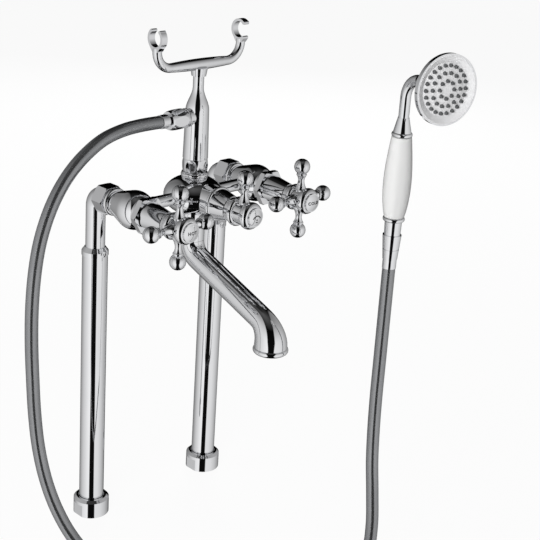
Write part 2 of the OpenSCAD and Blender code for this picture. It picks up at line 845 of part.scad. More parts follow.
module column() {
    steps = 16;
    low = body_top - nut_thread_len - clip_t;
    color(chrome) on_column() difference() {
        union() {
            rod(column_spigot_r, low - 1, column_nut_top + cut);
            taper(column_base_d / 2, column_top_d / 2, column_nut_top, shoulder_rise);
            translate([0, 0, shoulder_rise]) rotate_extrude() polygon(concat(
                [[0, 0]],
                [for (i = [0 : steps])
                    [neck_r + (column_top_d / 2 - neck_r) * (1 + cos(180 * i / steps)) / 2, shoulder_len * i / steps]],
                [[0, shoulder_len]]
            ));
            rod(neck_r, shoulder_end, neck_end);
            translate([0, 0, branch_rise]) rotate([0, -90, 0]) {
                rod(branch_r, 0, branch_len);
                bead(branch_r + 1.4, branch_len, outlet_nut_back);
                rod(branch_thread_r, branch_len, outlet_thread_end);
            }
        }
        rod(column_bore_r, low - 3, branch_rise);
        pipe(column_spigot_r + cut, column_spigot_r - 1, low, low + clip_t);
        rod(stud_r, neck_end - stud_depth, neck_end + cut);
        translate([0, 0, branch_rise]) rotate([0, -90, 0]) rod(column_bore_r, 0, outlet_thread_end + cut);
    }
}

module cradle_stud() {
    color(brass) on_column() rod(stud_r, neck_end - stud_depth + 1, cradle_base + boss_h - 1);
}

module cradle_arm(side) {
    translate([side * (arm_x - arm_bend), 0, bar_z + arm_bend]) rotate([90, 0, 0])
        mirror([side < 0 ? 1 : 0, 0, 0]) rotate([0, 0, -90])
            rotate_extrude(angle = 90) translate([arm_bend, 0]) circle(d = cradle_bar_d);
    translate([side * arm_x, 0, bar_z + arm_bend])
        cylinder(d1 = cradle_bar_d, d2 = fork_width + 2, h = fork_rise - arm_bend - fork_r - fork_t / 2);
}

// Fork strip cut from a flat outline, whose X axis points to the back and Y axis up
module fork_strip() {
    translate([-fork_width / 2, 0, 0]) rotate([90, 0, 90]) linear_extrude(fork_width) children();
}

// Ring fork with a flared foot, open between two angles that turn from the back over the top
module ring_fork(from, to) {
    outer = fork_r + fork_t;
    far = 2 * outer;
    fork_strip() {
        difference() {
            union() {
                circle(r = outer);
                polygon([
                    [-fork_foot_r, arm_bend - fork_rise], [fork_foot_r, arm_bend - fork_rise],
                    outer * [cos(fork_foot_angle), -sin(fork_foot_angle)],
                    outer * [-cos(fork_foot_angle), -sin(fork_foot_angle)]
                ]);
            }
            circle(r = fork_r);
            polygon([[0, 0], far * [cos(from), sin(from)], far * [cos(to), sin(to)]]);
        }
        for (angle = [from, to])
            rotate(angle) translate([fork_r + fork_t / 2, 0]) circle(d = fork_t + tip_swell);
    }
}

// Cradle bar along Z, thickest at its middle
module swelling_bar(half) {
    steps = 6;
    rotate_extrude() polygon(concat(
        [[0, -half]],
        [for (i = [-steps : steps]) let (t = i / steps)
            [cradle_bar_d / 2 + bar_swell * (1 - t * t), half * t]],
        [[0, half]]
    ));
}

module cradle() {
    color(chrome) on_column() difference() {
        union() {
            taper(boss_r, boss_top_r, cradle_base, cradle_base + boss_h);
            translate([0, 0, bar_z]) rotate([0, 90, 0]) swelling_bar(arm_x - arm_bend);
            for (side = [-1, 1]) cradle_arm(side);
            translate([-arm_x, 0, fork_z]) ring_fork(90 - upright_fork_half, 90 + upright_fork_half);
            translate([arm_x, 0, fork_z]) ring_fork(side_fork_high, 360 - side_fork_low);
        }
        rod(stud_r + run_gap, cradle_base - cut, cradle_base + boss_h);
    }
}

// Hose outlet
module outlet_hose_nut() {
    color(chrome) on_branch() difference() {
        barrel_nut(outlet_nut_r, outlet_nut_r - 2, outlet_nut_af, outlet_nut_back, outlet_nut_front);
        rod(branch_thread_r + run_gap, outlet_nut_back - cut, ferrule_flange_back + ferrule_flange_t);
        rod(ferrule_r + run_gap, outlet_nut_back, outlet_nut_front + cut);
    }
}

module outlet_washer() {
    color(rubber_black) on_branch() pipe(branch_thread_r - 0.3, hose_bore_r, outlet_thread_end, ferrule_flange_back);
}

module outlet_ferrule() {
    color(chrome) on_branch() difference() {
        union() {
            rod(ferrule_flange_r, ferrule_flange_back, ferrule_flange_back + ferrule_flange_t);
            rod(ferrule_r, ferrule_flange_back, ferrule_front);
        }
        rod(hose_bore_r, ferrule_flange_back - cut, ferrule_front + cut);
    }
}

function unit(v) = v / norm(v);
function route_way(i) = unit(hose_route[min(i + 1, len(hose_route) - 1)] - hose_route[max(i - 1, 0)]);
function route_side(i) = let (across = cross(route_way(i), [0.35, 0.9, 0.25])) unit(across);
function route_ring(i) = let (a = route_side(i), b = cross(route_way(i), a))
    [for (k = [0 : hose_sides - 1]) let (turn = 360 * k / hose_sides)
        hose_route[i] + (a * cos(turn) + b * sin(turn)) * hose_d / 2];
function band(i, sides) = [for (k = [0 : sides - 1]) let (n = (k + 1) % sides)
    each [[i * sides + k, i * sides + n, (i + 1) * sides + n], [i * sides + k, (i + 1) * sides + n, (i + 1) * sides + k]]];

// Tube skin through rings of points, closed by a fan at each end
module loft(rings, sides) {
    last = (len(rings) - 1) * sides;
    polyhedron(
        points = [for (ring = rings) each ring],
        faces = concat(
            [for (i = [0 : len(rings) - 2]) each band(i, sides)],
            [for (k = [1 : sides - 2]) [0, k + 1, k]],
            [for (k = [1 : sides - 2]) [last, last + k, last + k + 1]]
        )
    );
}

module shower_hose() {
    color(hose_grey) loft([for (i = [0 : len(hose_route) - 1]) route_ring(i)], hose_sides);
}

// Spout
function blend(t) = t * t * (3 - 2 * t);
function root_bend(t) = let (a = spout_bend_angle * t)
    [-spout_root_bend * (1 - cos(a)), -spout_root_bend * sin(a), a, root_r + (spout_run_d / 2 - root_r) * t];
function end_bend(t) = let (a = spout_bend_angle * (1 - t), start = root_bend(1))
    [start[0] - spout_run_len * sin(spout_bend_angle) - spout_end_bend * (cos(a) - cos(spout_bend_angle)),
     start[1] - spout_run_len * cos(spout_bend_angle) - spout_end_bend * (sin(spout_bend_angle) - sin(a)),
     a, spout_run_d / 2 + (spout_end_d - spout_run_d) / 2 * blend(t)];
function spout_ring(s) = [for (k = [0 : spout_sides - 1]) let (turn = 360 * k / spout_sides)
    [s[3] * cos(turn), s[0] + s[3] * sin(turn) * cos(s[2]), s[1] - s[3] * sin(turn) * sin(s[2])]];
spout_sections = concat(
    [for (i = [0 : spout_bend_steps]) root_bend(i / spout_bend_steps)],
    [for (i = [0 : spout_bend_steps]) end_bend(i / spout_bend_steps)]
);

module spout() {
    color(chrome) translate([0, -column_setback, spout_top]) difference() {
        union() {
            loft([for (s = spout_sections) spout_ring(s)], spout_sides);
            rod(spigot_r - run_gap, -2, spigot_len + seat_gap);
        }
        for (z = [12, 17])
            pipe(spigot_r + cut, spigot_r - 2 * o_ring_r, z - o_ring_r - o_ring_gap, z + o_ring_r + o_ring_gap);
        pipe(spigot_r + cut, spigot_r - 1.6, 8 + seat_gap - set_screw_r - 0.4, 8 + seat_gap + set_screw_r + 0.4);
        rod(inlet_bore_r - 2, 0, spigot_len + cut);
        translate([0, -spout_reach, -spout_drop]) rod(aerator_spigot_r, -cut, aerator_spigot_len);
    }
}

module spout_o_rings() {
    color(rubber_black) translate([0, -column_setback, spout_top]) for (z = [12, 17])
        translate([0, 0, z]) rotate_extrude() translate([spigot_r - o_ring_r, 0]) circle(r = o_ring_r - o_ring_gap);
}

module aerator_housing() {
    color(chrome) translate([0, spout_exit_y, spout_exit_z]) difference() {
        union() {
            bead(aerator_d / 2, -aerator_h, 0);
            rod(aerator_spigot_r, -aerator_h, aerator_spigot_len);
        }
        rod(aerator_bore_r, -aerator_h - cut, aerator_spigot_len + cut);
        rod(aerator_lip_r, -aerator_h - cut, -aerator_h + 2);
    }
}

module aerator_insert() {
    pitch = 4;
    color(rubber_grey) translate([0, spout_exit_y, spout_exit_z]) difference() {
        rod(aerator_bore_r, -aerator_h + 3, aerator_spigot_len - 1);
        for (x = [-2 : 2], y = [-2 : 2]) if (norm([x, y]) < 2.5)
            translate([x * pitch, y * pitch, 0]) translate([-1.2, -1.2, -aerator_h]) cube([2.4, 2.4, aerator_h + 3]);
    }
}

// Handset
module handset_hose_ferrule() {
    color(chrome) on_handset() difference() {
        union() {
            rod(hose_d / 2 + 0.4, -ferrule_collar, 0);
            rod(thread_r - 1, 0, thread_low - 2);
            rod(thread_r - 0.1, thread_low - 2, thread_low);
        }
        rod(hose_bore_r, -ferrule_collar - cut, thread_low + cut);
    }
}

module handset_hose_nut() {
    mid_r = nut_low_r + (nut_high_r - nut_low_r) * nut_groove_z / nut_h;
    color(chrome) on_handset() difference() {
        taper(nut_low_r, nut_high_r, 0, nut_h);
        rod(thread_r - 1 + run_gap, -cut, nut_h);
        rod(thread_r + run_gap, thread_low - 2, nut_h + cut);
        pipe(nut_high_r + cut, mid_r - nut_groove, nut_groove_z, nut_groove_z + 1);
    }
}

module handset_lower_ferrule() {
    color(chrome) on_handset() difference() {
        union() {
            rod(thread_r, thread_low, nut_h);
            taper(thread_r + 1.2, grip_end_d / 2 - 1.4, nut_h, grip_base - bead_h + 0.5);
            bead(grip_end_d / 2 + 1.1, grip_base - bead_h, grip_base);
        }
        rod(tube_r, thread_low + 4, grip_base + cut);
        rod(tube_bore_r, thread_low - cut, nut_h);
    }
}

module handset_grip() {
    steps = 20;
    color(ceramic_white) on_handset() difference() {
        translate([0, 0, grip_base]) rotate_extrude() polygon(concat(
            [[0, 0]],
            [for (i = [0 : steps]) let (t = i / steps)
                [grip_end_d / 2 + (grip_d - grip_end_d) / 2 * sin(180 * pow(t, 0.8)), grip_len * t]],
            [[0, grip_len]]
        ));
        rod(tube_r, grip_base - cut, grip_top + cut);
    }
}

module handset_tube() {
    color(chrome) on_handset() difference() {
        union() {
            rod(tube_r, thread_low + 4, tube_top);
            neck_bend(tube_r);
        }
        rod(tube_bore_r, thread_low, tube_top);
        neck_bend(tube_bore_r);
    }
}

module neck_bend(r) {
    translate([0, -neck_bend_r, tube_top]) rotate([90, 0, 90])
        rotate_extrude(angle = neck_angle) translate([neck_bend_r, 0]) circle(r = r);
}

module handset_upper_ferrule() {
    color(chrome) on_handset() difference() {
        union() {
            bead(grip_end_d / 2 + 0.3, grip_top, grip_top + bead_h);
            taper(grip_end_d / 2 - 1, tube_r + 0.4, grip_top + bead_h - 0.5, grip_top + bead_h + upper_cone_h);
        }
        rod(tube_r, grip_top - cut, grip_top + bead_h + upper_cone_h + cut);
    }
}

module head_shell() {
    steps = 14;
    bell_h = head_depth - head_rim_t;
    color(chrome) on_face() difference() {
        rotate_extrude() polygon(concat(
            [[0, 0]],
            [for (i = [0 : steps]) let (t = i / steps) [tube_r + 1 + (head_r - tube_r - 1) * t, bell_h * pow(t, 0.8)]],
            [[head_r, head_depth], [0, head_depth]]
        ));
        rod(plate_r, head_depth - plate_t, head_depth + cut);
        rod(plate_hub_r, head_depth - plate_t - plate_hub_t, head_depth);
        taper(tube_bore_r, plate_hub_r - 2, head_cavity_back, head_depth - plate_t - plate_hub_t);
        rod(tube_bore_r, -cut, head_depth);
    }
}

// Height of the crowned nozzle field at a distance from its middle
function crown(r) = head_depth - dish_depth + plate_crown * (1 - pow(r / dish_r, 2));

// Stands a child at the foot of each nozzle, at the height of the field there
module at_nozzles() {
    for (ring = nozzle_rings, k = [0 : ring[0] - 1])
        rotate([0, 0, 360 * k / ring[0]]) translate([ring[1], 0, crown(ring[1])]) children();
}

module spray_plate() {
    steps = 8;
    low = head_depth - plate_t;
    color(ceramic_white) on_face() difference() {
        rotate_extrude() polygon(concat(
            [[0, low - plate_hub_t], [plate_hub_r, low - plate_hub_t], [plate_hub_r, low], [plate_r, low],
                [plate_r, head_depth], [plate_r - 0.8, head_depth]],
            [for (i = [steps : -1 : 0]) let (r = dish_r * i / steps) [r, crown(r)]]
        ));
        at_nozzles() rod(nozzle_r + solder_gap, -nozzle_seat, head_depth);
    }
}

module spray_nozzles() {
    color(rubber_grey) on_face() at_nozzles() {
        rod(nozzle_r, -nozzle_seat, 0.5);
        taper(nozzle_r, nozzle_r * 0.7, 0.5, nozzle_h);
    }
}

leg_sleeve(-1);  // hot_leg_sleeve
leg_sleeve(1);  // cold_leg_sleeve
leg_elbow(-1);  // hot_leg_elbow
leg_elbow(1);  // cold_leg_elbow
set_screws();
foot_nut(-1);  // hot_foot_nut
foot_nut(1);  // cold_foot_nut
foot_washers();
union_nut(-1);  // hot_union_nut
union_nut(1);  // cold_union_nut
union_washers();
valve_body(-1);  // hot_valve_body
valve_body(1);  // cold_valve_body
headwork(-1);  // hot_headwork
headwork(1);  // cold_headwork
seat_discs();
bonnet(-1);  // hot_bonnet
bonnet(1);  // cold_bonnet
crossbar(-1);  // hot_crossbar
crossbar(1);  // cold_crossbar
centre_body();
diverter_headwork();
diverter_bonnet();
column_nut();
column_clip();
column();
cradle_stud();
outlet_hose_nut();
outlet_washer();
outlet_ferrule();
shower_hose();
turning_disc(-1);  // hot_turning_disc
spindle(-1);  // hot_spindle
cross_handle(-1);  // hot_handle
handle_cap(-1);  // hot_handle_cap
handle_screw(-1);  // hot_handle_screw
turning_disc(1);  // cold_turning_disc
spindle(1);  // cold_spindle
cross_handle(1);  // cold_handle
handle_cap(1);  // cold_handle_cap
handle_screw(1);  // cold_handle_screw
diverter_spindle();
diverter_plate();
diverter_knob();
diverter_cap();
diverter_screw();
spout();
spout_o_rings();
aerator_housing();
aerator_insert();
cradle();
handset_hose_ferrule();
handset_hose_nut();
handset_lower_ferrule();
handset_grip();
handset_tube();
handset_upper_ferrule();
head_shell();
spray_plate();
spray_nozzles();
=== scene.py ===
"""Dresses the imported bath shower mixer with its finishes, hose, marks and small fittings."""

from __future__ import annotations

import json
import logging
import math
from dataclasses import dataclass, field
from enum import Enum

import bmesh
import bpy
from mathutils import Matrix, Vector

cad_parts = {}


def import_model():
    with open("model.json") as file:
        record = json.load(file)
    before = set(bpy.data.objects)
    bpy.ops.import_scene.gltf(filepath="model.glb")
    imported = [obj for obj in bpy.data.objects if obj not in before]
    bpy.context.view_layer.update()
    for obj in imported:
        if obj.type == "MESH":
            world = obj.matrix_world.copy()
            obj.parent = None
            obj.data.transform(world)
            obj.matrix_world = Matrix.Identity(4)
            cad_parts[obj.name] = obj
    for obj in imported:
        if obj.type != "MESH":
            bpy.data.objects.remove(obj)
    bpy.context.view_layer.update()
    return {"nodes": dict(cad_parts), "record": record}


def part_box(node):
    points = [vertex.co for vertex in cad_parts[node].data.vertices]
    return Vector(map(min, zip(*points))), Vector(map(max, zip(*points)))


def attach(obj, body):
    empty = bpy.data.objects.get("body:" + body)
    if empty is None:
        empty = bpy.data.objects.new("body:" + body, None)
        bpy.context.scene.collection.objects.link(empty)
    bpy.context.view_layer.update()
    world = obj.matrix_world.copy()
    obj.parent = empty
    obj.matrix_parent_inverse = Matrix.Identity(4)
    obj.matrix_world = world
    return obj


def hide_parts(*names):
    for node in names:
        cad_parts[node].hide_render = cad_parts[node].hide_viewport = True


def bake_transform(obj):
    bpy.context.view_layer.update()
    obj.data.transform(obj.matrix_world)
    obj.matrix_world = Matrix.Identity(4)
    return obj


LOG = logging.getLogger("bath_mixer")
MM = 0.001
FLATTED = ("_nut", "_bonnet")
TURNED_EDGE = 24.0
FLATTED_EDGE = 12.0


class Body(str, Enum):
    """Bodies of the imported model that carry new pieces."""

    MIXER = "mixer"
    HOT = "hot_handle"
    COLD = "cold_handle"
    DIVERTER = "diverter"
    SPOUT = "spout"
    HANDSET = "handset"


class Slot(str, Enum):
    """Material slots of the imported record."""

    CHROME = "polished_chrome"
    BRASS = "plain_brass"
    DISC = "disc_ceramic"
    BLACK_RUBBER = "black_rubber"
    PORCELAIN = "white_porcelain"
    WHITE_PLASTIC = "white_plastic"
    GREY_RUBBER = "grey_rubber"
    GREY_PLASTIC = "grey_plastic"
    HOSE = "silver_hose"


def socket(group: bpy.types.NodeTree, name: str, kind: str, way: str, value: float | None = None) -> None:
    """Adds one named socket to a node group.

    Args:
        group: Node group that gets the socket.
        name: Name of the socket.
        kind: Socket type, such as NodeSocketFloat.
        way: INPUT or OUTPUT.
        value: Default of an input.
    """
    item = group.interface.new_socket(name=name, in_out=way, socket_type=kind)
    if value is not None:
        item.default_value = value


def handling_marks() -> bpy.types.NodeTree:
    """Builds the shared group for faint wipe marks and water film on a glossy surface.

    Returns:
        A node group with Roughness and Height outputs.
    """
    group = bpy.data.node_groups.new("handling_marks", "ShaderNodeTree")
    socket(group, "Vector", "NodeSocketVector", "INPUT")
    socket(group, "Scale", "NodeSocketFloat", "INPUT", 60.0)
    socket(group, "Low", "NodeSocketFloat", "INPUT", 0.04)
    socket(group, "High", "NodeSocketFloat", "INPUT", 0.10)
    socket(group, "Roughness", "NodeSocketFloat", "OUTPUT")
    socket(group, "Height", "NodeSocketFloat", "OUTPUT")
    nodes, links = group.nodes, group.links
    source = nodes.new("NodeGroupInput")
    result = nodes.new("NodeGroupOutput")
    film = nodes.new("ShaderNodeTexNoise")
    film.inputs["Detail"].default_value = 5.0
    film.inputs["Roughness"].default_value = 0.6
    fine = nodes.new("ShaderNodeTexNoise")
    fine.inputs["Detail"].default_value = 2.0
    ratio = nodes.new("ShaderNodeMath")
    ratio.operation = "MULTIPLY"
    ratio.inputs[1].default_value = 9.0
    spread = nodes.new("ShaderNodeMapRange")
    spread.inputs["From Min"].default_value = 0.35
    spread.inputs["From Max"].default_value = 0.70
    links.new(source.outputs["Vector"], film.inputs["Vector"])
    links.new(source.outputs["Scale"], film.inputs["Scale"])
    links.new(source.outputs["Vector"], fine.inputs["Vector"])
    links.new(source.outputs["Scale"], ratio.inputs[0])
    links.new(ratio.outputs[0], fine.inputs["Scale"])
    links.new(film.outputs["Fac"], spread.inputs["Value"])
    links.new(source.outputs["Low"], spread.inputs["To Min"])
    links.new(source.outputs["High"], spread.inputs["To Max"])
    links.new(spread.outputs["Result"], result.inputs["Roughness"])
    links.new(fine.outputs["Fac"], result.inputs["Height"])
    return group


@dataclass(frozen=True)
class Finish:
    """One procedural finish: a base colour that drifts a little, and handling marks in its gloss."""

    name: str
    colour: tuple[float, float, float]
    drift: tuple[float, float, float]
    metallic: float = 0.0
    low: float = 0.04
    high: float = 0.10
    scale: float = 60.0
    bump: float = 0.0
    coat: float = 0.0
    ior: float = 1.5

    def build(self, marks: bpy.types.NodeTree) -> bpy.types.Material:
        """Makes the material.

        Args:
            marks: The shared handling marks group.

        Returns:
            The finished material.
        """
        material = bpy.data.materials.new(self.name)
        material.use_nodes = True
        nodes, links = material.node_tree.nodes, material.node_tree.links
        shader = nodes["Principled BSDF"]
        shader.inputs["Metallic"].default_value = self.metallic
        shader.inputs["IOR"].default_value = self.ior
        shader.inputs["Coat Weight"].default_value = self.coat
        shader.inputs["Coat Roughness"].default_value = 0.03
        place = nodes.new("ShaderNodeTexCoord")
        wear = nodes.new("ShaderNodeGroup")
        wear.node_tree = marks
        wear.inputs["Scale"].default_value = self.scale
        wear.inputs["Low"].default_value = self.low
        wear.inputs["High"].default_value = self.high
        links.new(place.outputs["Object"], wear.inputs["Vector"])
        links.new(wear.outputs["Roughness"], shader.inputs["Roughness"])
        cloud = nodes.new("ShaderNodeTexNoise")
        cloud.inputs["Scale"].default_value = self.scale * 0.4
        cloud.inputs["Detail"].default_value = 3.0
        tint = nodes.new("ShaderNodeMix")
        tint.data_type = "RGBA"
        tint.inputs["A"].default_value = (*self.colour, 1.0)
        tint.inputs["B"].default_value = (*self.drift, 1.0)
        links.new(place.outputs["Object"], cloud.inputs["Vector"])
        links.new(cloud.outputs["Fac"], tint.inputs["Factor"])
        links.new(tint.outputs["Result"], shader.inputs["Base Color"])
        if self.bump > 0.0:
            relief = nodes.new("ShaderNodeBump")
            relief.inputs["Strength"].default_value = self.bump
            relief.inputs["Distance"].default_value = 0.05 * MM
            links.new(wear.outputs["Height"], relief.inputs["Height"])
            links.new(relief.outputs["Normal"], shader.inputs["Normal"])
        return material


FINISHES: dict[Slot, Finish] = {
    Slot.CHROME: Finish(
        "polished_chrome", (0.90, 0.90, 0.91), (0.84, 0.85, 0.87), metallic=1.0, low=0.02, high=0.06
    ),
    Slot.BRASS: Finish(
        "plain_brass", (0.72, 0.56, 0.28), (0.60, 0.44, 0.20), metallic=1.0, low=0.18, high=0.34
    ),
    Slot.DISC: Finish("disc_ceramic", (0.93, 0.92, 0.89), (0.88, 0.87, 0.84), low=0.12, high=0.2),
    Slot.BLACK_RUBBER: Finish(
        "black_rubber", (0.025, 0.025, 0.026), (0.05, 0.05, 0.05), low=0.5, high=0.7, bump=0.3
    ),
    Slot.PORCELAIN: Finish(
        "white_porcelain", (0.80, 0.80, 0.79), (0.77, 0.77, 0.77), low=0.05, high=0.1, coat=0.3
    ),
    Slot.WHITE_PLASTIC: Finish(
        "white_plastic", (0.93, 0.93, 0.94), (0.89, 0.89, 0.90), low=0.25, high=0.38, bump=0.1
    ),
    Slot.GREY_RUBBER: Finish(
        "grey_rubber", (0.09, 0.093, 0.096), (0.14, 0.144, 0.148), low=0.45, high=0.6, bump=0.3
    ),
    Slot.GREY_PLASTIC: Finish(
        "grey_plastic", (0.42, 0.43, 0.44), (0.34, 0.35, 0.36), low=0.35, high=0.5, bump=0.2
    ),
    Slot.HOSE: Finish(
        "silver_hose", (0.36, 0.365, 0.375), (0.30, 0.305, 0.315), metallic=0.9, low=0.16, high=0.24
    ),
}


def finish_piece(
    obj: bpy.types.Object, body: Body, slot: Slot, materials: dict[Slot, bpy.types.Material]
) -> bpy.types.Object:
    """Dresses a new piece, hangs it on its body and logs it.

    Args:
        obj: The piece, already in its place.
        body: Body that carries it.
        slot: Record slot that its finish comes from.
        materials: Materials by slot.

    Returns:
        The same piece.
    """
    obj.data.materials.clear()
    obj.data.materials.append(materials[slot])
    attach(obj, body.value)
    LOG.info("piece %s rides on %s", obj.name, body.value)
    return obj


def mesh_object(name: str, shape: bmesh.types.BMesh, smooth: bool = True) -> bpy.types.Object:
    """Turns a bmesh into a linked object at the origin.

    Args:
        name: Name of the piece.
        shape: Bmesh in the row frame, in metres. It is freed.
        smooth: Whether faces are shaded smooth.

    Returns:
        The new object.
    """
    mesh = bpy.data.meshes.new(name)
    for face in shape.faces:
        face.smooth = smooth
    shape.to_mesh(mesh)
    shape.free()
    obj = bpy.data.objects.new(name, mesh)
    bpy.context.scene.collection.objects.link(obj)
    return obj


def angle_smoother(degrees: float) -> bpy.types.NodeTree:
    """Builds the modifier group that joins loose triangles and shades them smooth below an edge angle.

    Args:
        degrees: Edge angle above which an edge stays crisp.

    Returns:
        A geometry node group.
    """
    group = bpy.data.node_groups.new(f"smooth_below_{degrees:.0f}", "GeometryNodeTree")
    socket(group, "Geometry", "NodeSocketGeometry", "INPUT")
    socket(group, "Geometry", "NodeSocketGeometry", "OUTPUT")
    nodes, links = group.nodes, group.links
    source = nodes.new("NodeGroupInput")
    result = nodes.new("NodeGroupOutput")
    bare = nodes.new("GeometryNodeRemoveAttribute")
    bare.inputs["Name"].default_value = "custom_normal"
    merge = nodes.new("GeometryNodeMergeByDistance")
    merge.inputs["Distance"].default_value = 0.002 * MM
    soft = nodes.new("GeometryNodeSetShadeSmooth")
    soft.domain = "FACE"
    crisp = nodes.new("GeometryNodeSetShadeSmooth")
    crisp.domain = "EDGE"
    crisp.inputs["Shade Smooth"].default_value = False
    angle = nodes.new("GeometryNodeInputMeshEdgeAngle")
    test = nodes.new("FunctionNodeCompare")
    test.data_type = "FLOAT"
    test.operation = "GREATER_THAN"
    test.inputs["B"].default_value = math.radians(degrees)
    links.new(source.outputs[0], bare.inputs["Geometry"])
    links.new(bare.outputs["Geometry"], merge.inputs["Geometry"])
    links.new(merge.outputs["Geometry"], soft.inputs["Geometry"])
    links.new(soft.outputs["Geometry"], crisp.inputs["Geometry"])
    links.new(angle.outputs["Unsigned Angle"], test.inputs["A"])
    links.new(test.outputs["Result"], crisp.inputs["Selection"])
    links.new(crisp.outputs["Geometry"], result.inputs[0])
    return group


@dataclass
class ShowerHose:
    """The smooth silver hose from the column outlet to the handset."""

    diameter: float = 14 * MM
    length: float = 1.25
    steps: int = 6
    sides: int = 20
    lift_start: Vector = field(default_factory=lambda: Vector((-0.138, -0.213, 0.0075)))
    lift_end: Vector = field(default_factory=lambda: Vector((0.049, -0.318, 0.0075)))
    route: tuple[tuple[float, float, float], ...] = (
        (-53, -61, 490), (-80, -61, 490), (-104, -61, 488), (-128, -61, 482),
        (-150, -62, 471), (-170, -63, 456), (-187, -64, 437), (-201, -65, 414),
        (-212, -66, 386), (-219, -67, 354), (-223, -68, 318), (-225, -70, 280),
        (-225, -72, 240), (-224, -74, 200), (-222, -78, 162), (-218, -85, 126),
        (-212, -96, 93), (-203, -111, 63), (-191, -131, 38), (-176, -155, 20),
        (-158, -183, 10), (-138, -213, 7.5), (-115, -243, 7), (-90, -271, 7),
        (-62, -295, 7), (-32, -314, 7.5), (-2, -326, 12), (25, -328, 24),
        (46, -322, 44), (61, -312, 70), (70, -301, 102), (74, -293, 138),
        (76, -289, 176), (76, -288, 216), (76, -288, 256), (76, -288, 296),
        (76, -288, 332), (76, -288, 366),
    )

    def path(self) -> list[Vector]:
        """Runs one smooth curve through the route points.

        Returns:
            Points along the hose, in metres.
        """
        points = [Vector(p) * MM for p in self.route]
        line = [points[0]]
        for i in range(len(points) - 1):
            before = points[max(i - 1, 0)]
            after = points[min(i + 2, len(points) - 1)]
            a, b = points[i], points[i + 1]
            for k in range(1, self.steps + 1):
                t = k / self.steps
                line.append(
                    0.5
                    * (
                        2 * a
                        + (b - before) * t
                        + (2 * before - 5 * a + 4 * b - after) * t * t
                        + (3 * a - before - 3 * b + after) * t * t * t
                    )
                )
        return line

    def build(self, materials: dict[Slot, bpy.types.Material]) -> bpy.types.Object:
        """Args:
            materials: Materials by slot.

        Returns:
            The hose.
        """
        line = self.path()
        curve = bpy.data.curves.new("hose_line", "CURVE")
        curve.dimensions = "3D"
        curve.bevel_depth = self.diameter / 2
        curve.bevel_resolution = self.sides // 2 - 2
        curve.use_fill_caps = True
        spline = curve.splines.new("POLY")
        spline.points.add(len(line) - 1)
        for point, place in zip(spline.points, line):
            point.co = (*place, 1.0)
        holder = bpy.data.objects.new("hose_line", curve)
        bpy.context.scene.collection.objects.link(holder)
        bpy.context.view_layer.update()
        mesh = bpy.data.meshes.new_from_object(holder.evaluated_get(bpy.context.evaluated_depsgraph_get()))
        bpy.data.objects.remove(holder)
        hose = bpy.data.objects.new("hose", mesh)
        bpy.context.scene.collection.objects.link(hose)
        mesh.materials.clear()
        mesh.materials.append(materials[Slot.HOSE])
        for face in mesh.polygons:
            face.use_smooth = True
        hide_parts("shower_hose")
        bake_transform(hose)
        LOG.info("piece %s joins the outlet and the handset", hose.name)
        return hose


